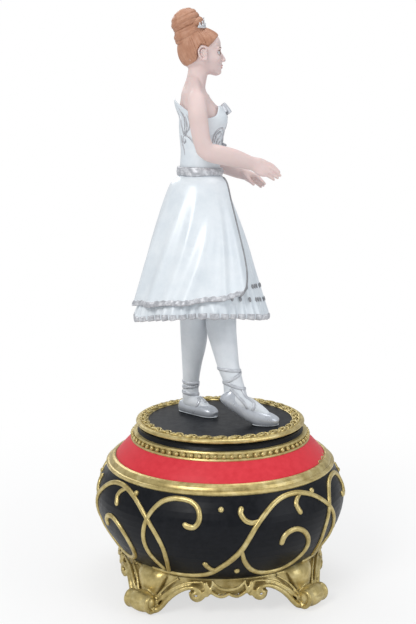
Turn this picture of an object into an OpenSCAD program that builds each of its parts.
// Ballerina jewellery box: a scroll-footed bowl with a lift-off lid, a turntable that
// carries a ballerina, and the pinned-cylinder movement that turns her.
// The figure looks along +X. The origin is on the table, under the bowl's axis.

/* [Bowl] */
// Widest outer radius of the bowl
bowl_r = 66; // [50:0.5:90]
// Height of the bowl's underside above the table
bowl_z = 17.5; // [14:0.5:26]
// Height of the bowl from its underside to its lip
bowl_h = 48; // [40:0.5:70]
// Wall and floor thickness of the bowl
bowl_wall = 3; // [2:0.25:5]
// Radius of the hole in the bowl's floor for the winding arbor
floor_hole_r = 4.5; // [3:0.25:8]

/* [Scroll relief] */
// Half width of the applied tendrils
tendril_w = 1.6; // [0.8:0.1:3]
// Height of the tendrils above the bowl
tendril_h = 1.1; // [0.6:0.1:2]
// Radius of the applied dots
dot_r = 1.6; // [0.8:0.1:3]

/* [Stand] */
// Radial width of the ring under the bowl
ring_w = 8.5; // [5:0.5:14]
// Height of the ring under the bowl
ring_h = 4; // [2:0.5:8]
// Thickness of the shell aprons behind their relief
apron_t = 2.4; // [1.5:0.1:4]
// Half of the angle that an apron spans
apron_half_angle = 38.3; // [30:0.1:38.5]
// Ribs in one shell apron
apron_ribs = 5; // [3:2:9]

/* [Lid] */
// Height of the lid from its seat to its flat top
lid_rise = 10.6; // [7:0.2:18]
// Radius of the lid's flat top
lid_top_r = 47.5; // [38:0.5:60]
// Thickness of the lid's flat top
lid_t = 2; // [1.5:0.1:4]
// Height of the beaded band
bead_band_h = 4.4; // [3:0.1:7]
// Radius of one bead
bead_r = 1.05; // [0.6:0.05:2]
// Beads round the band
bead_count = 72; // [24:2:96]
// Height of the neck above the beaded band
neck_h = 3.2; // [2:0.1:6]
// Radius of the neck
neck_r = 44; // [34:0.5:56]

/* [Turntable] */
// Outer radius of the moulded rim
rim_r = 44.7; // [34:0.1:58]
// Height of the moulded rim
rim_h = 2.3; // [1.5:0.1:5]
// Inner radius of the moulded rim, where the dark disc shows
rim_bore_r = 38.1; // [28:0.1:50]
// Depth of the disc's face below the rim's top
disc_recess = 0.6; // [0:0.1:2]
// Radius of the turntable's spindle
spindle_r = 3; // [2:0.1:5]
// Height of the figure above the disc
figure_h = 211.4; // [140:0.2:300]

/* [Tray] */
// Depth of the jewel tray's inside
tray_depth = 20.8; // [12:0.2:40]
// Wall of the jewel tray
tray_wall = 1.6; // [1.2:0.1:3]
// Outer radius of the tray's central post
tray_post_r = 6; // [5:0.1:9]

/* [Movement] */
// Radius of the drive shaft through the tray
drive_shaft_r = 2; // [1.5:0.1:3]
// Radius of the spring arbor
arbor_r = 1.8; // [1.2:0.1:3]
// Thickness of the bedplate
bedplate_t = 2; // [1.5:0.1:3]
// Radius of the spring barrel
barrel_r = 10; // [8:0.1:12]
// Height of the barrel's drum above its crown wheel
barrel_h = 11.5; // [8:0.1:14]
// Radius of the pinned cylinder
cylinder_r = 6.5; // [5:0.1:7]
// Length of the pinned cylinder
cylinder_l = 17; // [12:0.5:19]
// Radius of the cylinder's arbor
cylinder_arbor_r = 1.2; // [0.8:0.1:2]
// Teeth of the comb
comb_teeth = 18; // [12:1:22]
// Thickness of the comb
comb_t = 1.2; // [0.8:0.1:2]

/* [Fits] */
// Radial clearance of a shaft in its bearing
running_fit = 0.06; // [0.02:0.01:0.1]
// Clearance between pieces that move past one another
move_gap = 0.4; // [0.3:0.05:1]
// Clearance round pieces that lift off or drop in
lift_gap = 0.25; // [0.1:0.05:0.6]
// Clearance between pieces that are glued or bedded
glue_gap = 0.06; // [0.02:0.01:0.2]
// Clearance under the applied tendrils, which bridge the bowl's curve
tendril_gap = 0.36; // [0.1:0.02:0.6]

/* [Hidden] */
$fn = 96;

// ---- curves and skins -------------------------------------------------------------

// The value of a Catmull-Rom curve between b and c.
function curve_at(a, b, c, d, t) = 0.5 * (2 * b + (c - a) * t
    + (2 * a - 5 * b + 4 * c - d) * t * t + (3 * b - a - 3 * c + d) * t * t * t);
function row_at(rows, i) = rows[max(0, min(len(rows) - 1, i))];
// Rows with n steps between each pair; every number in a row is smoothed alike.
function smooth(rows, n) = [
    for (i = [0:len(rows) - 2])
        for (k = [0:n - 1])
            curve_at(row_at(rows, i - 1), rows[i], rows[i + 1], row_at(rows, i + 2), k / n),
    rows[len(rows) - 1]];
function unit(v) = v / max(norm(v), 1e-9);
function point(row) = [row[0], row[1], row[2]];
function average(points) = [for (k = [0:2]) [for (p = points) p[k]] * [for (p = points) 1]]
    / len(points);

// A closed skin over rings of equal length, wound anticlockwise as seen from the last.
module skin(rings) {
    n = len(rings[0]);
    m = len(rings);
    points = [for (r = rings) each r, average(rings[0]), average(rings[m - 1])];
    sides = [for (i = [0:m - 2]) for (j = [0:n - 1]) each [
        [i * n + j, (i + 1) * n + j, (i + 1) * n + (j + 1) % n],
        [i * n + j, (i + 1) * n + (j + 1) % n, i * n + (j + 1) % n]]];
    first = [for (j = [0:n - 1]) [m * n, j, (j + 1) % n]];
    last = [for (j = [0:n - 1]) [m * n + 1, (m - 1) * n + (j + 1) % n, (m - 1) * n + j]];
    polyhedron(points = points, faces = concat(sides, first, last), convexity = 6);
}

// A ring-shaped skin: the last ring joins the first again.
module hollow_skin(rings) {
    n = len(rings[0]);
    m = len(rings);
    faces = [for (i = [0:m - 1]) for (j = [0:n - 1]) each [
        [i * n + j, (i + 1) % m * n + j, (i + 1) % m * n + (j + 1) % n],
        [i * n + j, (i + 1) % m * n + (j + 1) % n, i * n + (j + 1) % n]]];
    polyhedron(points = [for (r = rings) each r], faces = faces, convexity = 6);
}

// Rings along a path of rows [x, y, z, half width, half height]; up steadies them.
function swept(rows, up, n) = [for (i = [0:len(rows) - 1])
    let (
        t = unit(point(row_at(rows, i + 1)) - point(row_at(rows, i - 1))),
        s = unit(cross(up, t)),
        u = cross(t, s))
    [for (j = [0:n - 1]) point(rows[i])
        + rows[i][3] * cos(360 * j / n) * s + rows[i][4] * sin(360 * j / n) * u]];

// A level ring from a row [z, x centre, y centre, x radius, y radius].
function level_ring(row, n, grow = 0) = [for (j = [0:n - 1])
    [row[1] + (row[3] + grow) * cos(360 * j / n),
     row[2] + (row[4] + grow) * sin(360 * j / n), row[0]]];

// ---- sizes that follow from others --------------------------------------------------

// The bowl's outline as [share of its height, share of its radius], from the underside up.
bowl_shape = [[0, 0.727], [0.05, 0.787], [0.1, 0.822], [0.22, 0.886], [0.34, 0.942],
    [0.47, 0.98], [0.6, 1], [0.72, 0.998], [0.84, 0.968], [0.94, 0.93], [1, 0.912]];
bowl_out = [for (p = smooth(bowl_shape, 2)) [p[1] * bowl_r, bowl_z + p[0] * bowl_h]];
function bowl_at(z) = lookup(z, [for (p = bowl_out) [p[1], p[0]]]);
bowl_in_share = 1.12;
function bowl_in_at(z) = bowl_at(z) - bowl_wall * bowl_in_share;
bowl_foot_r = bowl_out[0][0];
bowl_floor_z = bowl_z + bowl_wall;
lip_z = bowl_z + bowl_h;
lip_r = bowl_at(lip_z);

// The band on the lip, with a seat for the lid and one for the tray.
band_h = 4.9;
band_in = 4.6;
lid_seat_z = lip_z + 2.7;
lid_seat_w = 3;
tray_seat_z = lip_z - 0.3;
tray_seat_w = 1.4;
band_mouth_r = lip_r - band_in;
band_bore_r = band_mouth_r - lid_seat_w;
tray_bore_r = band_bore_r - tray_seat_w;
band_skirt = 1.7;

lid_edge_r = band_mouth_r - lift_gap;
spigot_r = band_bore_r - lift_gap;
spigot_w = 1.7;
spigot_h = 1.5;
lid_top_z = lid_seat_z + lid_rise;
band_seat_r = neck_r - 1.5;
neck_z = lid_top_z + bead_band_h;
neck_top_z = neck_z + neck_h;
web_z = lid_top_z + 1.2;
web_t = 2;
bush_r = 5;
boss_r = 7.5;
boss_h = 5.6;

rim_z = neck_top_z + move_gap;
rim_top_z = rim_z + rim_h;
disc_z = rim_top_z - disc_recess;
disc_flange_r = rim_r - 2.7;
disc_flange_t = 1;
hub_r = 8;
hub_h = 1.6;
hub_z = rim_z - hub_h;
bush_top_z = lid_top_z + boss_h;
washer_gap = 0.05;
fork_z = lid_top_z - 7.8;
slot_w = 1.6;
slot_depth = 6;
tongue_t = slot_w - 0.2;
tongue_w = 4;

tray_r = tray_bore_r - lift_gap;
tray_lip_r = band_bore_r - lift_gap;
tray_lip_t = 1.2;
tray_top_z = tray_seat_z + tray_lip_t;
tray_floor_z = tray_top_z - tray_depth;
tube_r = 4.2;
tube_top_z = tray_top_z + 1;

// The movement, from the bowl's floor up.
bed_z = bowl_floor_z;
bed_top_z = bed_z + bedplate_t;
axis_z = bed_top_z + 11;
module_crown = 0.6;
pinion_teeth = 24;
crown_teeth = 40;
pinion_r = module_crown * pinion_teeth / 2;
crown_r = module_crown * crown_teeth / 2;
crown_face = 2;
crown_z = axis_z - pinion_r;
flange_t = 1.5;
flange_z = crown_z - 0.8 - flange_t;
flange_r = crown_r + crown_face / 2;
barrel_bottom_z = bed_top_z + 1;
barrel_top_z = flange_z + flange_t + barrel_h;
pinion_x = crown_r - crown_face / 2;
bracket_t = 1.2;
bracket_x = flange_r + 0.6;
cylinder_x = bracket_x + bracket_t + 0.4;
wheel_t = 1.2;
wheel_x = cylinder_x + cylinder_l + 0.4;
outer_x = wheel_x + wheel_t + 0.6;
module_wheel = 0.5;
wheel_teeth = 30;
small_teeth = 10;
governor_y = module_wheel * (wheel_teeth + small_teeth) / 2;
governor_shaft_r = 0.8;
module_worm = 0.4;
worm_wheel_teeth = 24;
worm_wheel_x = outer_x + bracket_t + 0.8;
worm_r = 1.2;
worm_x = worm_wheel_x + wheel_t / 2;
worm_y = governor_y + module_worm * worm_wheel_teeth / 2 + worm_r;
worm_lead = PI * module_worm;
end_bearing_x = worm_wheel_x + wheel_t + 1.2;
worm_shaft_r = 0.6;
frame_top_z = axis_z + 4.2;
vane_gap = 0.4;
vane_h = 2.8;
vane_z = frame_top_z + bracket_t + vane_gap;
worm_end_gap = 0.6;
pin_h = 0.65;
pin_gap = 0.15;
comb_tip_y = -(cylinder_r + pin_h + pin_gap);
comb_len = 15;
comb_root_y = comb_tip_y - 8.5;
comb_pitch = (cylinder_l - 1.2) / comb_teeth;
arbor_bottom_z = bowl_z - 7.5;

// ---- bowl ---------------------------------------------------------------------------

module bowl() {
    inside = [for (i = [len(bowl_out) - 1:-1:0])
        if (bowl_out[i][1] > bowl_floor_z) [bowl_in_at(bowl_out[i][1]), bowl_out[i][1]]];
    color([0.06, 0.06, 0.07])
    difference() {
        rotate_extrude()
        polygon(concat([[floor_hole_r, bowl_z]], bowl_out, inside,
            [[bowl_in_at(bowl_floor_z), bowl_floor_z], [floor_hole_r, bowl_floor_z]]));
        movement_screw_places()
        translate([0, 0, bowl_z - 1])
        cylinder(r = screw_r + lift_gap, h = bowl_wall + 2, $fn = 24);
    }
}

// A point on the bowl's outside, lifted by h along its normal; angle 0 looks along -Y.
function bowl_point(angle, z, h) = let (
    slope = (bowl_at(z + 1) - bowl_at(z - 1)) / 2,
    k = 1 / sqrt(1 + slope * slope),
    r = bowl_at(z) + h * k)
    [r * sin(angle), -r * cos(angle), z - h * k * slope];
function bowl_z_at(share) = bowl_z + share * bowl_h;

// One ring of a tendril: across the path on the surface, with a raised back.
tendril_section = [[-1, 0], [1, 0], [0.5, 1], [-0.5, 1]];
function tendril_ring(rows, i) = let (
    here = rows[i],
    before = row_at(rows, i - 1),
    after = row_at(rows, i + 1),
    z = bowl_z_at(here[1]),
    along = unit([(after[0] - before[0]) * PI / 180 * bowl_at(z),
        (after[1] - before[1]) * bowl_h]),
    slope = (bowl_at(z + 1) - bowl_at(z - 1)) / 2,
    w = here[2] * tendril_w)
    [for (s = tendril_section) bowl_point(
        here[0] - s[0] * w * along[1] * 180 / PI / bowl_at(z),
        z + s[0] * w * along[0] / sqrt(1 + slope * slope),
        tendril_gap + s[1] * tendril_h * min(1, here[2]))];
module tendril(rows, n = 2) {
    path = smooth(rows, n);
    skin([for (i = [0:len(path) - 1]) tendril_ring(path, i)]);
}
module dot(angle, share) {
    z = bowl_z_at(share);
    slope = (bowl_at(z + 1) - bowl_at(z - 1)) / 2;
    translate(bowl_point(angle, z, tendril_gap))
    rotate([0, 0, angle - 90])
    rotate([0, 90 + atan(slope), 0])
    hull() {
        cylinder(r = dot_r, h = 0.3, $fn = 8);
        cylinder(r = dot_r * 0.6, h = dot_r * 0.8, $fn = 8);
    }
}

// Tendrils of one quarter as [angle, share of the bowl's height, share of the width].
scroll_long = [[-43, 0.09, 0.8], [-34, 0.085, 1], [-25, 0.085, 1], [-16, 0.105, 1.1],
    [-9.5, 0.15, 1.1], [-4, 0.245, 1.1], [1, 0.355, 1.2], [5, 0.475, 1.1], [8, 0.605, 1.1],
    [11, 0.72, 1.1], [15.5, 0.825, 1.1], [20.6, 0.905, 1.1], [26.5, 0.95, 1.1],
    [33, 0.955, 1.1], [39.5, 0.92, 1.1], [45, 0.86, 1], [50, 0.775, 1], [54, 0.68, 1],
    [57.5, 0.555, 1], [59.5, 0.42, 1], [59.3, 0.27, 1], [57.5, 0.12, 0.9]];
scroll_hook = [[-20, 0.73, 0.7], [-18.3, 0.71, 1.2], [-15.6, 0.71, 1.1], [-13.6, 0.78, 1.1],
    [-14.4, 0.88, 1.1], [-17.8, 0.94, 1.1], [-22.3, 0.957, 1.1], [-27.2, 0.95, 1.1],
    [-32, 0.905, 1.1], [-35.8, 0.81, 1], [-38.4, 0.68, 1], [-40, 0.53, 1],
    [-40, 0.4, 1], [-38.4, 0.27, 1], [-35, 0.13, 0.9]];
scroll_spiral = [[4.5, 0.47, 0.9], [6.2, 0.33, 1], [10, 0.2, 1.1], [15.5, 0.125, 1.1],
    [22.5, 0.1, 1.1], [30, 0.115, 1.1], [36.5, 0.19, 1.1], [39.4, 0.3, 1.1],
    [38.7, 0.43, 1.1], [35.2, 0.545, 1.1], [30.5, 0.61, 1.1], [26, 0.6, 1.1],
    [23.6, 0.55, 1.2], [23, 0.485, 0.8]];
scroll_sprouts = [
    [[12, 0.76, 0.7], [9.3, 0.745, 1], [6.3, 0.77, 1.1], [4.3, 0.835, 1.2], [4.6, 0.885, 0.7]],
    [[35, 0.93, 0.7], [32.6, 0.9, 1], [31.3, 0.85, 1.1], [32.2, 0.79, 1.2], [32.6, 0.77, 0.6]],
    [[-6, 0.2, 0.7], [-8.6, 0.205, 0.9], [-10.6, 0.24, 1], [-11.6, 0.28, 0.6]]];
scroll_dots = [[-4.3, 0.88], [3.6, 0.18], [-47, 0.93]];

module bowl_scrollwork() {
    color([0.72, 0.62, 0.34])
    for (quarter = [0:3])
        rotate([0, 0, 90 * quarter]) {
            tendril(scroll_long, 1);
            tendril(scroll_hook);
            tendril(scroll_spiral);
            for (s = scroll_sprouts) tendril(s, 1);
            for (d = scroll_dots) dot(d[0], d[1]);
        }
}

// The band's two rolls, as steps from the lip.
band_rolls = [[0, 0], [0.5, 0.6], [0.45, 1.3], [-0.3, 1.9], [-1.1, 2.1], [-1.3, 2.6],
    [-1.8, 3.5], [-2.8, 4.4], [-3.9, 4.9], [-4.6, 4.7]];
module shoulder_band() {
    rolls = [for (p = band_rolls) [lip_r + p[0], lip_z + p[1] * band_h / 4.9]];
    skirt_r = bowl_in_at(lip_z) - lift_gap;
    color([0.72, 0.62, 0.34])
    rotate_extrude()
    polygon(concat(rolls, [
        [band_mouth_r, lid_seat_z], [band_bore_r, lid_seat_z],
        [band_bore_r, tray_seat_z], [tray_bore_r, tray_seat_z],
        [tray_bore_r, lip_z - band_skirt], [skirt_r, lip_z - band_skirt],
        [skirt_r, lip_z]]));
}

// ---- stand --------------------------------------------------------------------------

ring_r = bowl_foot_r + 1.5;
module stand_ring() {
    color([0.72, 0.62, 0.34])
    difference() {
        translate([0, 0, bowl_z - ring_h]) cylinder(r = ring_r, h = ring_h);
        translate([0, 0, bowl_z - ring_h - 1]) cylinder(r = ring_r - ring_w, h = ring_h + 2);
    }
}

// A cast apron between two feet. Its outline is [angle from its middle, height] at foot_ref_h:
// a scalloped edge in the middle, a scroll on each side, and an arm that sweeps down to the foot.
foot_ref_h = 17.5;
foot_scale = bowl_z / foot_ref_h;
apron_edge = [[0, 12.1], [2, 11.3], [4.6, 11.2], [6.4, 11.9], [7.8, 13], [9.7, 11], [11.6, 12.8],
    [13, 11.8], [15, 9.6], [22, 12], [23, 14.7], [26.4, 13.2], [30, 10.6], [33.4, 7.2],
    [36, 5.2], [38.3, 5.5], [37.4, 8.6], [35.8, 11], [34.2, 13], [34.1, 17.1]];
apron_end = apron_edge[len(apron_edge) - 1];
apron_seat_r = ring_r + glue_gap;
apron_x = apron_seat_r + apron_t / 2;
module apron_outline() {
    half = [for (p = apron_edge)
        [apron_x * sin(p[0] * apron_half_angle / apron_ref_angle), p[1] * foot_scale]];
    polygon(concat(half, [for (i = [len(half) - 1:-1:1]) [-half[i][0], half[i][1]]]));
}
apron_ref_angle = 38.3;
border_h = 1.7;
border_t = 1;
rib_spread = 8.5;
rib_r = 0.85;
scroll_angle = 18.6;
scroll_r = 3.3;
scroll_z = 11.8;
scroll_eye_r = 1.5;
// A wall of thickness t round the ring, as high as the stand.
module apron_wall(t) {
    rotate([0, 0, -apron_half_angle - 2])
    rotate_extrude(angle = 2 * apron_half_angle + 4)
    translate([apron_seat_r, 0]) square([t, bowl_z]);
}
module shell_apron() {
    intersection() {
        apron_wall(apron_t);
        rotate([90, 0, 90]) linear_extrude(height = bowl_r) apron_outline();
    }
    intersection() {
        apron_wall(apron_t + border_t);
        rotate([90, 0, 90]) linear_extrude(height = bowl_r)
        difference() {
            apron_outline();
            translate([0, border_h]) apron_outline();
        }
    }
    for (i = [0:apron_ribs - 1])
        rotate([0, 0, (i / (apron_ribs - 1) * 2 - 1) * rib_spread])
        translate([apron_seat_r + apron_t - 0.1, 0, (apron_edge[0][1] + 1) * foot_scale])
        cylinder(r1 = rib_r, r2 = rib_r * 0.6, h = (apron_end[1] - apron_edge[0][1] - 1.2) * foot_scale,
            $fn = 24);
    for (side = [-1, 1])
        rotate([0, 0, side * scroll_angle * apron_half_angle / apron_ref_angle])
        translate([apron_seat_r + 0.4, 0, scroll_z * foot_scale])
        rotate([0, 90, 0]) {
            cylinder(r = scroll_r, h = apron_t + border_t * 0.6, $fn = 48);
            cylinder(r = scroll_eye_r, h = apron_t + border_t * 1.3, $fn = 32);
        }
}
module shell_aprons() {
    color([0.72, 0.62, 0.34])
    for (side = [0:3]) rotate([0, 0, 90 * side]) shell_apron();
}

// A scroll foot as rows [radius, height, half width, half thickness] from knee to curl.
foot_rows = [[48.2, 14.2, 8, 2.2], [51, 14.8, 8.6, 2.6], [53.2, 13.6, 8, 2.9],
    [54.3, 10.8, 6.7, 2.9], [55, 7.8, 5.5, 2.8], [56.6, 4.7, 5.1, 2.7], [59.3, 2.2, 6, 2.6],
    [62.2, 2.5, 7.2, 2.6], [64, 5.4, 7.9, 2.7], [63.3, 8.8, 7.4, 2.4], [61.2, 9.5, 6.2, 1.8],
    [60.2, 8.1, 4.8, 1.1]];
foot_ref_r = 49.5;
module scroll_foot() {
    rows = [for (p = smooth(foot_rows, 1))
        [ring_r + (p[0] - foot_ref_r) * foot_scale, 0, p[1] * foot_scale, p[2] * foot_scale,
            p[3] * foot_scale]];
    color([0.72, 0.62, 0.34])
    difference() {
        skin(swept(rows, [0, 0, 1], 14));
        translate([0, 0, bowl_z - ring_h - 1]) cylinder(r = ring_r + glue_gap, h = ring_h * 2);
        translate([0, 0, -5]) cylinder(r = bowl_r * 2, h = 5);
    }
}
module foot_front_right() { rotate([0, 0, -45]) scroll_foot(); }
module foot_back_right() { rotate([0, 0, -135]) scroll_foot(); }
module foot_back_left() { rotate([0, 0, 135]) scroll_foot(); }
module foot_front_left() { rotate([0, 0, 45]) scroll_foot(); }

// ---- tray ---------------------------------------------------------------------------

module jewel_tray() {
    color([0.16, 0.14, 0.15])
    rotate_extrude()
    polygon([[tube_r + glue_gap, tray_floor_z - tray_wall], [tray_r - 2, tray_floor_z - tray_wall],
        [tray_r, tray_floor_z + 0.6], [tray_r, tray_seat_z], [tray_lip_r, tray_seat_z],
        [tray_lip_r, tray_top_z], [tray_r - tray_wall, tray_top_z],
        [tray_r - tray_wall, tray_floor_z + 1.6], [tray_r - tray_wall - 1.6, tray_floor_z],
        [tray_post_r, tray_floor_z], [tray_post_r, tray_top_z - 1.5],
        [tube_r + glue_gap, tray_top_z - 1.5]]);
}
module guide_tube() {
    color([0.75, 0.6, 0.3])
    difference() {
        translate([0, 0, tray_floor_z - tray_wall - 1])
        cylinder(r = tube_r, h = tube_top_z - tray_floor_z + tray_wall + 1);
        translate([0, 0, tray_floor_z - tray_wall - 2])
        cylinder(r = drive_shaft_r + running_fit, h = tray_depth + 10);
    }
}

// ---- movement -----------------------------------------------------------------------

screw_r = 1;
screw_places = [[-12, -16], [-12, 14], [32, 1], [29, -22]];
module movement_screw_places() {
    for (p = screw_places) translate([p[0], p[1], 0]) children();
}
module bedplate() {
    color([0.6, 0.6, 0.62])
    difference() {
        translate([0, 0, bed_z])
        linear_extrude(height = bedplate_t)
        polygon([[-16, -20], [-12, -25], [comb_root_x1, -25], [comb_root_x1 + 3, -20],
            [worm_x + 4, worm_y - 4], [worm_x + 4, worm_y + 5], [worm_x, worm_y + 7.5],
            [-10, worm_y + 4], [-16, worm_y - 2]]);
        translate([0, 0, bed_z - 1]) cylinder(r = arbor_r + running_fit, h = bedplate_t + 2);
        movement_screw_places()
        translate([0, 0, bed_z - 1]) cylinder(r = screw_r + glue_gap, h = bedplate_t + 0.5, $fn = 24);
    }
}
module movement_screws() {
    color([0.55, 0.55, 0.57])
    movement_screw_places() {
        translate([0, 0, bowl_z - 1.2]) cylinder(r = screw_r * 2.2, h = 1.2, $fn = 24);
        translate([0, 0, bowl_z - 1.2]) cylinder(r = screw_r, h = bowl_wall + bedplate_t, $fn = 24);
    }
}

comb_x0 = cylinder_x + 0.6;
comb_root_x1 = cylinder_x + cylinder_l - 0.6;
module comb_base() {
    color([0.62, 0.55, 0.4])
    translate([comb_x0, comb_tip_y - comb_len, bed_top_z])
    cube([comb_root_x1 - comb_x0, comb_len + comb_root_y - comb_tip_y,
        axis_z - comb_t / 2 - bed_top_z]);
}
module comb() {
    slot = comb_pitch * 0.28;
    color([0.7, 0.7, 0.72])
    translate([0, 0, axis_z - comb_t / 2])
    difference() {
        linear_extrude(height = comb_t)
        polygon(concat(
            [[comb_x0, comb_tip_y - comb_len], [comb_x0, comb_tip_y]],
            [for (i = [1:comb_teeth - 1])
                let (x = comb_x0 + i * comb_pitch, deep = comb_root_y + (comb_teeth - i) * 0.12)
                each [[x - slot / 2, comb_tip_y], [x - slot / 2, deep],
                    [x + slot / 2, deep], [x + slot / 2, comb_tip_y]]],
            [[comb_root_x1, comb_tip_y], [comb_root_x1, comb_tip_y - comb_len]]));
        for (x = [comb_x0 + 3, comb_root_x1 - 3])
            translate([x, comb_tip_y - comb_len + 3, -1]) cylinder(r = 1.1, h = 4, $fn = 24);
    }
}

// An upright plate across X with round holes at the heights of the shafts.
module bearing_plate(x, y0, y1, top, holes) {
    color([0.6, 0.6, 0.62])
    difference() {
        translate([x, y0, bed_top_z]) cube([bracket_t, y1 - y0, top - bed_top_z]);
        for (hole = holes)
            translate([x - 1, hole[0], axis_z])
            rotate([0, 90, 0]) cylinder(r = hole[1] + running_fit, h = bracket_t + 2, $fn = 32);
    }
}
module cylinder_bracket_inner() {
    bearing_plate(bracket_x, -4.5, 4.5, axis_z + 3.5, [[0, cylinder_arbor_r]]);
}
module cylinder_bracket_outer() {
    bearing_plate(outer_x, -4.5, governor_y + 3, axis_z + 3.5,
        [[0, cylinder_arbor_r], [governor_y, governor_shaft_r]]);
}
module governor_frame() {
    post_y = worm_y + 3.4;
    foot = 1.8;
    color([0.6, 0.6, 0.62]) {
        difference() {
            union() {
                translate([worm_x - 3, worm_y - 2.4, bed_top_z]) cube([6, 7.6, foot]);
                translate([worm_x - 3, post_y, bed_top_z]) cube([6, 1.8, frame_top_z - bed_top_z]);
                translate([worm_x - 3, worm_y - 1.4, frame_top_z]) cube([6, 6.6, bracket_t]);
            }
            translate([worm_x, worm_y, bed_top_z + 0.4])
            cylinder(r = worm_shaft_r + running_fit, h = frame_top_z, $fn = 24);
        }
        bearing_plate(end_bearing_x, governor_y - 3.2, governor_y + 3.2, axis_z + 2.5,
            [[governor_y, governor_shaft_r]]);
    }
}

// A wheel's outline with straight-flanked teeth, of tooth_share of the pitch at the pitch line.
function gear_outline(teeth, mod, tooth_share, depth_share = 1) = let (
    r = mod * teeth / 2,
    tip = r + mod * depth_share,
    root = r - mod * 1.25,
    a = 360 / teeth)
    [for (i = [0:teeth - 1]) each [
        [root, (i - tooth_share * 0.66) * a], [r, (i - tooth_share * 0.5) * a],
        [tip, (i - tooth_share * 0.22) * a], [tip, (i + tooth_share * 0.22) * a],
        [r, (i + tooth_share * 0.5) * a], [root, (i + tooth_share * 0.66) * a]]];
function cartesian(polar) = [for (p = polar) [p[0] * cos(p[1]), p[0] * sin(p[1])]];
tooth_share = 0.4;
// A spur wheel across X, its axis at y; turned sets a tooth gap or a tooth downwards.
module spur_wheel(x, y, teeth, mod, face, bore, turned = 0) {
    translate([x, y, axis_z])
    rotate([0, 90, 0])
    difference() {
        linear_extrude(height = face)
        rotate(turned) polygon(cartesian(gear_outline(teeth, mod, tooth_share)));
        translate([0, 0, -1]) cylinder(r = bore, h = face + 2, $fn = 48);
    }
}

module pin_cylinder() {
    bar = bracket_x + bracket_t + 0.2;
    color([0.78, 0.64, 0.32])
    translate([0, 0, axis_z])
    rotate([0, 90, 0]) {
        translate([0, 0, cylinder_x]) cylinder(r = cylinder_r, h = cylinder_l);
        translate([0, 0, pinion_x])
        cylinder(r = cylinder_arbor_r, h = outer_x + bracket_t + 0.4 - pinion_x);
        translate([0, 0, bar]) cylinder(r = cylinder_arbor_r * 1.6, h = cylinder_x - bar + 0.1);
        for (i = [0:comb_teeth - 1])
            for (k = [0:1])
                translate([0, 0, comb_x0 + (i + 0.5) * comb_pitch])
                rotate([0, 0, i * 77 + k * 163 + 8])
                translate([cylinder_r - 0.3, 0, 0])
                rotate([0, 90, 0]) cylinder(r = 0.22, h = pin_h + 0.3, $fn = 6);
    }
}
module cylinder_pinion() {
    color([0.78, 0.64, 0.32])
    spur_wheel(pinion_x, 0, pinion_teeth, module_crown, crown_face, cylinder_arbor_r, 180 / pinion_teeth);
}
module cylinder_wheel() {
    color([0.78, 0.64, 0.32])
    spur_wheel(wheel_x, 0, wheel_teeth, module_wheel, wheel_t, cylinder_arbor_r, 0);
}
// The cylinder's wheel has a tooth on the line of centres, so the small one has a gap there.
governor_turn = 180 / small_teeth;
module governor_shaft() {
    color([0.78, 0.64, 0.32]) {
        translate([wheel_x - 0.2, governor_y, axis_z])
        rotate([0, 90, 0])
        cylinder(r = governor_shaft_r, h = end_bearing_x + bracket_t + 0.3 - wheel_x, $fn = 48);
        translate([wheel_x, governor_y, axis_z])
        rotate([0, 90, 0])
        linear_extrude(height = wheel_t)
        rotate(governor_turn) polygon(cartesian(gear_outline(small_teeth, module_wheel, tooth_share)));
    }
}
module worm_wheel() {
    color([0.78, 0.64, 0.32])
    spur_wheel(worm_wheel_x, governor_y, worm_wheel_teeth, module_worm, wheel_t, governor_shaft_r);
}
// The worm's cross-section; turned as it rises, it makes a right-handed thread.
worm_section = [[1.55, -25], [1.55, 25], [worm_r, 58], [0.8, 100], [0.72, 150], [0.72, 210],
    [0.8, 260], [worm_r, 302]];
thread_h = 4 * worm_lead;
module governor_worm() {
    color([0.66, 0.66, 0.68])
    translate([worm_x, worm_y, 0]) {
        translate([0, 0, bed_top_z + worm_end_gap])
        cylinder(r = worm_shaft_r, h = vane_z + vane_h + 0.3 - worm_end_gap - bed_top_z, $fn = 32);
        translate([0, 0, axis_z - thread_h / 2])
        rotate([0, 0, worm_phase])
        linear_extrude(height = thread_h, twist = -360 * thread_h / worm_lead, slices = 40,
            segments = 0, $fn = 8)
        polygon(cartesian(worm_section));
    }
}
worm_phase = 90;
module air_brake() {
    color([0.8, 0.8, 0.82])
    difference() {
        union() {
            translate([worm_x - 3.6, worm_y - 0.3, vane_z]) cube([7.2, 0.6, vane_h]);
            translate([worm_x, worm_y, vane_z]) cylinder(r = 1.3, h = 1.2, $fn = 24);
        }
        translate([worm_x, worm_y, vane_z - 1]) cylinder(r = worm_shaft_r, h = 6, $fn = 32);
    }
}

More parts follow.
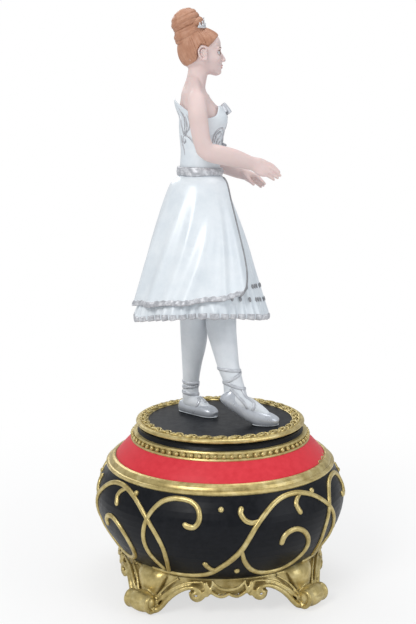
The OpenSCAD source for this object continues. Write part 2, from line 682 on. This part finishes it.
module spring_barrel() {
    bore = arbor_r + running_fit;
    tooth = crown_z - flange_z - flange_t + 0.6;
    color([0.78, 0.64, 0.32])
    difference() {
        union() {
            translate([0, 0, barrel_bottom_z])
            cylinder(r = barrel_r - 2, h = flange_z - barrel_bottom_z + 0.1);
            translate([0, 0, flange_z]) cylinder(r = flange_r, h = flange_t);
            translate([0, 0, flange_z]) cylinder(r = barrel_r, h = barrel_top_z - flange_z);
            for (i = [0:crown_teeth - 1])
                rotate([0, 0, 360 * i / crown_teeth])
                translate([flange_r - crown_face, 0, flange_z + flange_t - 0.2])
                rotate([90, 0, 90])
                linear_extrude(height = crown_face - 0.05)
                polygon([[-0.42, 0], [0.42, 0], [0.2, tooth], [-0.2, tooth]]);
        }
        translate([0, 0, barrel_bottom_z - 1]) cylinder(r = bore, h = barrel_top_z - barrel_bottom_z);
    }
}
module spring_arbor() {
    color([0.66, 0.66, 0.68]) {
        translate([0, 0, arbor_bottom_z])
        cylinder(r = arbor_r, h = barrel_top_z - 1.6 - arbor_bottom_z);
        translate([0, 0, bed_top_z + 0.2]) cylinder(r = arbor_r + 1.2, h = 0.6);
    }
}
module winding_key() {
    hub_top = bowl_z - 0.7;
    wing_z = arbor_bottom_z - 2.6;
    color([0.75, 0.6, 0.3])
    difference() {
        union() {
            translate([0, 0, arbor_bottom_z - 1.5])
            cylinder(r = arbor_r + 1.5, h = hub_top - arbor_bottom_z + 1.5);
            translate([0, 1, wing_z])
            rotate([90, 0, 0])
            linear_extrude(height = 2)
            difference() {
                union() {
                    for (side = [-1, 1]) translate([side * 7.2, 0]) circle(r = 5);
                    translate([-7.2, -2]) square([14.4, 4]);
                }
                for (side = [-1, 1]) translate([side * 7.8, 0]) circle(r = 2.2);
            }
        }
        translate([0, 0, arbor_bottom_z]) cylinder(r = arbor_r, h = hub_top);
    }
}
module drive_shaft() {
    shaft_top = fork_z - 0.3;
    color([0.66, 0.66, 0.68]) {
        translate([0, 0, barrel_top_z]) cylinder(r = drive_shaft_r, h = shaft_top - barrel_top_z);
        translate([-tongue_w / 2, -tongue_t / 2, shaft_top - 0.5])
        cube([tongue_w, tongue_t, slot_depth - 0.2]);
    }
}

// ---- lid ----------------------------------------------------------------------------

module lid_shoulder() {
    w = lid_edge_r - lid_top_r;
    h = lid_rise;
    color([0.8, 0.2, 0.24])
    rotate_extrude()
    polygon([[lid_edge_r, lid_seat_z], [lid_edge_r, lid_seat_z + h * 0.19],
        [lid_top_r + w * 0.72, lid_seat_z + h * 0.44], [lid_top_r + w * 0.38, lid_seat_z + h * 0.72],
        [lid_top_r, lid_top_z], [band_seat_r - 3, lid_top_z], [band_seat_r - 3, lid_top_z - lid_t],
        [lid_top_r - 1.2, lid_top_z - lid_t], [spigot_r - spigot_w, lid_seat_z + h * 0.3],
        [spigot_r - spigot_w, lid_seat_z - spigot_h], [spigot_r, lid_seat_z - spigot_h],
        [spigot_r, lid_seat_z]]);
}
bead_mid_r = lid_top_r - 0.95;
bead_mid_z = (lid_top_z + neck_z) / 2;
module bead_ring() {
    foot_r = lid_top_r - 0.2;
    head_r = lid_top_r - 1.5;
    seat = bead_r + glue_gap;
    color([0.72, 0.62, 0.34])
    rotate_extrude()
    polygon([[band_seat_r + glue_gap, lid_top_z], [foot_r, lid_top_z],
        [foot_r + 0.2, lid_top_z + 0.4], [foot_r - 0.3, bead_mid_z - seat],
        [bead_mid_r - seat, bead_mid_z - seat], [bead_mid_r - seat, bead_mid_z + seat],
        [head_r + 0.2, bead_mid_z + seat], [head_r + 0.3, neck_z - 0.5], [head_r, neck_z],
        [band_seat_r + glue_gap, neck_z]]);
}
module band_beads() {
    color([0.72, 0.62, 0.34])
    for (i = [0:bead_count - 1])
        rotate([0, 0, 360 * (i + 0.5) / bead_count])
        translate([bead_mid_r, 0, bead_mid_z]) sphere(r = bead_r, $fn = 24);
}
module lid_neck() {
    color([0.06, 0.06, 0.07])
    rotate_extrude()
    polygon([[bush_r, lid_top_z], [boss_r, lid_top_z], [boss_r, web_z], [band_seat_r - 4, web_z],
        [band_seat_r - 4, lid_top_z], [band_seat_r, lid_top_z], [band_seat_r, neck_z + glue_gap],
        [neck_r, neck_z + glue_gap], [neck_r - 0.8, neck_z + neck_h * 0.45],
        [neck_r - 0.7, neck_z + neck_h * 0.7], [neck_r, neck_top_z], [neck_r - 5.5, neck_top_z],
        [neck_r - 6, neck_z + 0.5], [neck_r - 8, web_z + web_t], [boss_r, web_z + web_t],
        [boss_r, bush_top_z - 0.2], [bush_r, bush_top_z - 0.2]]);
}
module spindle_bush() {
    color([0.78, 0.64, 0.32])
    difference() {
        translate([0, 0, lid_top_z]) cylinder(r = bush_r, h = boss_h);
        translate([0, 0, lid_top_z - 1]) cylinder(r = spindle_r + running_fit, h = boss_h + 2);
    }
}

// ---- turntable ----------------------------------------------------------------------

module top_disc() {
    color([0.06, 0.06, 0.07])
    rotate_extrude()
    polygon([[0, rim_z], [disc_flange_r, rim_z], [disc_flange_r, rim_z + disc_flange_t],
        [rim_bore_r - glue_gap, rim_z + disc_flange_t], [rim_bore_r - glue_gap, disc_z], [0, disc_z]]);
}
module rim_moulding() {
    color([0.72, 0.62, 0.34])
    rotate_extrude()
    polygon([[rim_bore_r, rim_z + disc_flange_t], [disc_flange_r + glue_gap, rim_z + disc_flange_t],
        [disc_flange_r + glue_gap, rim_z + 0.1], [rim_r - 0.9, rim_z], [rim_r - 0.25, rim_z + rim_h * 0.22],
        [rim_r, rim_z + rim_h * 0.5], [rim_r - 0.25, rim_z + rim_h * 0.8], [rim_r - 0.9, rim_top_z],
        [rim_bore_r + 1.4, rim_top_z], [rim_bore_r + 0.5, rim_top_z - 0.15],
        [rim_bore_r, rim_top_z - 0.5]]);
}
module turntable_spindle() {
    color([0.66, 0.66, 0.68])
    difference() {
        union() {
            translate([0, 0, hub_z]) cylinder(r = hub_r, h = hub_h);
            translate([0, 0, fork_z]) cylinder(r = spindle_r, h = hub_z - fork_z + 0.1);
        }
        translate([-spindle_r - 1, -slot_w / 2, fork_z - 1])
        cube([2 * spindle_r + 2, slot_w, slot_depth + 1]);
    }
}
module slip_washer() {
    color([0.9, 0.9, 0.86])
    difference() {
        translate([0, 0, bush_top_z + washer_gap])
        cylinder(r = hub_r - 1.5, h = hub_z - bush_top_z - 2 * washer_gap);
        translate([0, 0, bush_top_z - 1]) cylinder(r = spindle_r + 0.1, h = 4);
    }
}
module retaining_clip() {
    color([0.66, 0.66, 0.68])
    difference() {
        translate([0, 0, lid_top_z - 1]) cylinder(r = bush_r, h = 0.8);
        translate([0, 0, lid_top_z - 2]) cylinder(r = spindle_r + 0.02, h = 3);
    }
}

// ---- ballerina ------------------------------------------------------------------------
// Her pieces are drawn from the disc's face up, at the height below, then scaled to figure_h.

figure_ref_h = 211.4;
module on_disc() {
    translate([0, 0, disc_z]) scale(figure_h / figure_ref_h) children();
}
module below(z) {
    translate([-100, -100, z - 200]) cube([200, 200, 200]);
}
module above(z) {
    translate([-100, -100, z]) cube([200, 200, 200]);
}
seam = 0.08;
body_x = -10.4;
hip_z = 57.4;

// Rows [x, y, z, half width, half height] along each shoe, heel to toe.
shoe_rear_rows = [[-21.4, 18.4, 3, 1.6, 2], [-20.6, 17.6, 4, 3.2, 4], [-17.9, 15, 5, 4.1, 5.3],
    [-14.3, 11.5, 5.2, 4.3, 5.5], [-10.8, 8, 4, 4.4, 4.4], [-7.2, 4.5, 2.9, 4.7, 3.3],
    [-4.3, 1.7, 2.2, 4.2, 2.6], [-2.1, -0.4, 1.7, 2.6, 1.9], [-1.3, -1.2, 1.5, 1.2, 1.1]];
shoe_front_rows = [[0.4, -12.2, 14.2, 1.6, 2], [1.6, -12.3, 12.6, 3.4, 4.2],
    [6, -12.8, 9.7, 4, 5.2], [11, -13.6, 7.4, 4.2, 5], [16, -14.6, 4.8, 4.5, 4.1],
    [21, -15.6, 2.8, 4.8, 3.2], [25.5, -16.2, 2, 4.2, 2.6], [28.8, -16.6, 1.6, 2.6, 1.9],
    [30, -16.8, 1.4, 1.2, 1.1]];
module shoe_form(rows) { skin(swept(smooth(rows, 1), [0, 0, 1], 14)); }
module shoe(rows) {
    color([0.8, 0.8, 0.84])
    on_disc()
    difference() {
        shoe_form(rows);
        below(0);
    }
}
module shoe_rear() { shoe(shoe_rear_rows); }
module shoe_front() { shoe(shoe_front_rows); }

// Rows [x, y, z, half depth in y, half depth in x] down each leg.
leg_rear_rows = [[-14.2, 1.6, hip_z + 2, 6.8, 7], [-14.3, 3.5, 48, 6.4, 6.6],
    [-14, 5.8, 40, 6.2, 6.4], [-14.3, 8.5, 31, 5.4, 5.6], [-14.9, 10.8, 22, 4.7, 4.8],
    [-15.2, 12.3, 15.5, 4.4, 4.6], [-15.2, 12.6, 10, 4.2, 4.7], [-14.9, 12.2, 6, 3.6, 4.4]];
leg_front_rows = [[1.5, -2.3, hip_z + 2, 7.4, 8.2], [1.7, -3.6, 50, 7, 7.4],
    [2.5, -5.4, 41, 6.3, 6.3], [3.9, -7.8, 31, 5.5, 5.6], [5.2, -9.8, 23, 4.9, 5.2],
    [6.2, -11.2, 17, 4.6, 5.3], [7.6, -12.6, 12, 4, 5.2], [9, -13.2, 8.6, 3.2, 4.4]];
module leg(rows, shoe_rows) {
    color([0.85, 0.87, 0.9])
    on_disc()
    difference() {
        skin(swept(smooth(rows, 1), [1, 0, 0], 14));
        shoe_form(shoe_rows);
        above(hip_z - seam);
    }
}
module leg_rear() { leg(leg_rear_rows, shoe_rear_rows); }
module leg_front() { leg(leg_front_rows, shoe_front_rows); }

// Skirt rings as [height, x radius, y radius, depth of the folds].
waist_z = 129.6;
under_rows = [[53.6, 34.4, 32.2, 1.2], [56, 34.6, 32.4, 1.2], [62.4, 32.8, 30.8, 1],
    [70, 30.6, 29, 0.9], [80, 27.8, 26.6, 0.7], [92, 24.6, 23.8, 0.5], [104, 20.8, 20.6, 0.3],
    [114, 17.2, 17.6, 0.1], [121, 14.2, 15, 0], [125, 12.2, 12.9, 0], [128.6, 9.4, 10.6, 0]];
under_folds = 9;
function folded(z, rx, ry, fold, a) =
    [body_x + (rx + fold * cos(under_folds * a)) * cos(a),
     (ry + fold * cos(under_folds * a)) * sin(a), z];
module underskirt() {
    hem = under_rows[0];
    recess = [[hem[0] + 0.3, hem[1] - 1.6, hem[2] - 1.6, hem[3]], [hip_z, hem[1] - 5, hem[2] - 5, 0],
        [hip_z, 12, 12, 0]];
    rows = concat([recess[2], recess[1], recess[0]], under_rows);
    color([0.93, 0.94, 0.96])
    on_disc()
    skin([for (r = rows) [for (j = [0:35]) folded(r[0], r[1], r[2], r[3], 10 * j)]]);
}

// The overskirt opens at the front; rows [share of the drop, x radius, y radius, edge angle].
over_rows = [[0, 10.6, 11.4, 12], [0.025, 11, 11.8, 13], [0.05, 13, 13.7, 14], [0.09, 15.4, 16, 15],
    [0.2, 18.6, 18.8, 19], [0.36, 22.5, 22.2, 23], [0.52, 26.1, 25.4, 26], [0.68, 29.3, 28.2, 31],
    [0.84, 32.2, 30.8, 40], [0.95, 34.3, 32.8, 51], [1, 35.2, 33.8, 58]];
over_top_z = waist_z + 0.3;
over_t = 0.9;
over_steps = 26;
// The hem's height above the disc, by angle from the front.
over_hem = [[40, 71], [58, 69.6], [80, 67.2], [100, 65.4], [120, 64.9], [150, 65], [180, 65.6]];
function over_point(row, share, inward) = let (
    a = row[3] + (360 - 2 * row[3]) * share,
    hem = lookup(min(a, 360 - a), over_hem))
    [body_x + (row[1] - inward) * cos(a), (row[2] - inward) * sin(a),
     over_top_z + (hem - over_top_z) * row[0]];
module overskirt() {
    n = len(over_rows);
    loops = [for (j = [0:over_steps]) concat(
        [for (i = [n - 1:-1:0]) over_point(over_rows[i], j / over_steps, 0)],
        [for (i = [0:n - 1]) over_point(over_rows[i], j / over_steps, over_t)])];
    color([0.93, 0.94, 0.96])
    on_disc()
    skin([for (j = [over_steps:-1:0]) loops[j]]);
}

module waist_sash() {
    rows = [[128.3, 11.5, 12.2], [128.2, 12, 12.8], [130.6, 12.1, 12.9], [132.8, 11.7, 12.6],
        [132.6, 11, 11.9], [130.6, 11.2, 12]];
    color([0.76, 0.77, 0.8])
    on_disc()
    hollow_skin([for (r = rows) level_ring([r[0], body_x, 0, r[1], r[2]], 24)]);
}

// Rows [height, x centre, y centre, x radius, y radius] up the bodice, then over its top.
bodice_rows = [[130.1, -10.4, 0, 10.2, 11.2], [133, -10.3, 0, 10.3, 11.4],
    [138, -9.9, 0, 10.6, 11.8], [144, -9.8, 0, 10.8, 12.6], [150, -9.6, 0, 11.3, 13.8],
    [154.5, -8.8, 0, 12.2, 14.8], [158, -8.5, 0, 12.3, 15.4], [161, -9.4, 0, 11.6, 15.6],
    [163.6, -10.2, 0, 10.8, 15.4]];
bodice_cup = [[163, -10.2, 0, 9.7, 14.4], [158, -9.6, 0, 9.4, 13.4], [155.4, -9.8, 0, 9, 12.9],
    [155.2, -9.8, 0, 4, 6]];
// The top edge rises at the back and over the bust, and dips under the arms.
function bodice_lift(a, share) = share * (2.6 * pow(max(0, -cos(a)), 3) - 3.7 * pow(sin(a), 2));
function bodice_flare(a, share) = share * 2 * pow(max(0, -cos(a)), 3);
module bodice_form(grow = 0) {
    rows = concat(bodice_rows, bodice_cup);
    n = len(bodice_rows);
    skin([for (i = [0:len(rows) - 1])
        let (share = i < 5 || i > n ? 0 : min(1, (i - 4) / (n - 5)))
        [for (p = level_ring(rows[i], 24, grow))
            let (a = atan2(p[1], p[0] - rows[i][1]))
                [p[0] - bodice_flare(a, share), p[1], p[2] + bodice_lift(a, share)]]]);
}
module bodice() {
    color([0.93, 0.94, 0.96])
    on_disc() bodice_form();
}
module bust_rosette() {
    color([0.76, 0.77, 0.8])
    on_disc()
    translate([2.6, 0, 161.2])
    rotate([0, 62, 0]) {
        linear_extrude(height = 2.2)
        for (i = [0:4]) rotate([0, 0, 72 * i + 11]) translate([1.9, 0]) circle(r = 1.5, $fn = 20);
        cylinder(r = 1.1, h = 2.9, $fn = 20);
    }
}

// Rows up the bare shoulders and neck.
torso_rows = [[155.6, -10, 0, 8.4, 12.4], [160, -10.6, 0, 8.5, 13.2], [162.6, -11.3, 0, 8.4, 14],
    [165, -11.9, 0, 8.2, 15],
    [167.6, -12.6, 0, 7.2, 15.4], [170, -13.2, 0, 6.2, 12.6], [172.2, -13.2, 0, 5.4, 8.2],
    [175, -12.5, 0, 5.2, 5.5], [178.5, -11.6, 0, 5.2, 5], [182.5, -10.9, 0, 5.2, 5],
    [186.5, -10.4, 0, 5.2, 5.2]];
module torso_form() { skin([for (r = smooth(torso_rows, 1)) level_ring(r, 24)]); }
module shoulders() {
    color([0.86, 0.76, 0.74])
    on_disc()
    difference() {
        torso_form();
        head_form();
    }
}

// Rows up the head: [height, x centre, y centre, x radius, y radius, nose].
head_rows = [[178, -2.8, 0, 2.6, 2.8, 0], [179.4, -4, 0, 4.6, 4.6, 0], [182, -6.2, 0, 7, 6.4, 0],
    [185, -8.4, 0, 9.2, 7.6, 0.3], [187.4, -9.4, 0, 10.2, 8, 1.9], [190, -10, 0, 10.7, 8.4, 0.7],
    [193.5, -10.2, 0, 10.8, 8.7, 0], [197, -10.2, 0, 10, 8.3, 0], [199.6, -10.2, 0, 7.8, 6.6, 0],
    [201.2, -10.2, 0, 4, 3.6, 0]];
module head_form(grow = 0) {
    skin([for (r = head_rows)
        [for (p = level_ring([r[0] + (r[0] > 195 ? grow : 0), r[1], r[2], r[3], r[4]], 20, grow))
            let (a = atan2(p[1], p[0] - r[1])) [p[0] + r[5] * exp(-pow(a / 12, 2)), p[1], p[2]]]]);
}
module head() {
    color([0.86, 0.76, 0.74])
    on_disc() head_form();
}
// The hairline in side view, from the forehead round the ear to the nape.
hairline = [[3, 198.6], [-1.5, 196.2], [-7, 192.2], [-8.6, 189], [-10.6, 186.6], [-13.5, 185.4],
    [-16, 184.8], [-30, 184.7]];
hair_t = 0.9;
module hair() {
    color([0.72, 0.5, 0.38])
    on_disc()
    difference() {
        head_form(hair_t);
        head_form();
        translate([0, 50, 0]) rotate([90, 0, 0])
        linear_extrude(height = 100)
        polygon(concat(hairline, [[-30, 150], [20, 150], [20, 198.6]]));
    }
}
bun_rows = [[194, -13.8, 0, 7.2, 6.6], [197, -15, 0, 8.2, 7.4], [200, -15.7, 0, 8.3, 7.4],
    [202.2, -16.2, 0, 7.4, 6.6], [204, -16.9, 0, 8.2, 7.2], [206.6, -17.2, 0, 7.2, 6.4],
    [209.2, -17, 0, 4.6, 4.2], [211, -16.6, 0, 1.8, 1.8]];
module hair_bun() {
    color([0.72, 0.5, 0.38])
    on_disc()
    difference() {
        skin([for (r = smooth(bun_rows, 1)) level_ring(r, 18)]);
        head_form(hair_t + seam);
    }
}

// A crescent comb of five points that stands in front of the bun.
tiara_crest = [2.2, 1.3, 2.9, 1.5, 4.6, 1.5, 2.9, 1.3, 2.2];
module tiara() {
    n = len(tiara_crest);
    base_y = 8.2 + hair_t;
    base_z = 10.6 + hair_t;
    color([0.85, 0.86, 0.88])
    on_disc()
    difference() {
        translate([-6.2, 0, 190.6])
        rotate([90, 0, -90])
        linear_extrude(height = 1)
        polygon(concat(
            [for (i = [0:n - 1]) let (a = -40 + 80 * i / (n - 1))
                [(base_y + tiara_crest[i]) * sin(a), (base_z + tiara_crest[i]) * cos(a)]],
            [for (i = [12:-1:0]) let (a = -40 + 80 * i / 12)
                [(base_y - 2) * sin(a), (base_z - 2) * cos(a)]]));
        head_form(hair_t + seam);
    }
}

// Rows [x, y, z, half thickness, half width] down each arm to the fingertips.
arm_right_rows = [[-12.4, -13.8, 169, 2.6, 2.6], [-12, -16.2, 166, 4.2, 3.6],
    [-11.2, -19.8, 160, 4.8, 4], [-10.2, -20, 152, 4.7, 4], [-9.2, -20.2, 145, 4.5, 3.9],
    [-6.4, -19.8, 140.6, 4.6, 3.9], [-1, -18.4, 139.4, 4.7, 3.9], [6, -16, 137.8, 4.5, 3.7],
    [12.5, -13.8, 135.6, 3.5, 3.1], [16.2, -12.8, 134.7, 3.3, 2.6], [20.5, -12, 133, 4, 2.2],
    [25, -11.4, 130.8, 3.4, 1.8], [28.6, -11, 128.6, 1.8, 1.2]];
arm_left_rows = [[-12.4, 13.8, 169, 2.6, 2.6], [-12, 16.2, 166, 4.2, 3.6],
    [-11, 19.8, 160, 4.7, 4], [-9.8, 20, 150, 4.6, 4], [-8.2, 20.2, 142, 4.4, 3.9],
    [-5.2, 20, 137, 4.4, 3.9], [0, 18.8, 134, 4.4, 3.8], [6, 17, 131.2, 4, 3.5],
    [11.6, 15, 128.6, 3.3, 3], [14.6, 13.8, 127.4, 3.2, 2.6], [18, 12.6, 125, 3.4, 2.2],
    [21, 11.6, 122.4, 2.8, 1.8], [23, 11, 120.6, 1.4, 1.2]];
module arm(rows) {
    color([0.86, 0.76, 0.74])
    on_disc()
    difference() {
        skin(swept(smooth(rows, 1), [0, 1, 0], 12));
        torso_form();
    }
}
module arm_right() { arm(arm_right_rows); }
module arm_left() { arm(arm_left_rows); }

bowl();
bowl_scrollwork();
shoulder_band();
stand_ring();
shell_aprons();
foot_front_right();
foot_back_right();
foot_back_left();
foot_front_left();
jewel_tray();
guide_tube();
bedplate();
comb_base();
comb();
movement_screws();
cylinder_bracket_inner();
cylinder_bracket_outer();
governor_frame();
winding_key();
spring_arbor();
spring_barrel();
drive_shaft();
pin_cylinder();
cylinder_pinion();
cylinder_wheel();
governor_shaft();
worm_wheel();
governor_worm();
air_brake();
lid_shoulder();
bead_ring();
band_beads();
lid_neck();
spindle_bush();
top_disc();
rim_moulding();
turntable_spindle();
slip_washer();
retaining_clip();
shoe_front();
shoe_rear();
leg_front();
leg_rear();
underskirt();
overskirt();
waist_sash();
bodice();
bust_rosette();
shoulders();
head();
hair();
hair_bun();
tiara();
arm_right();
arm_left();
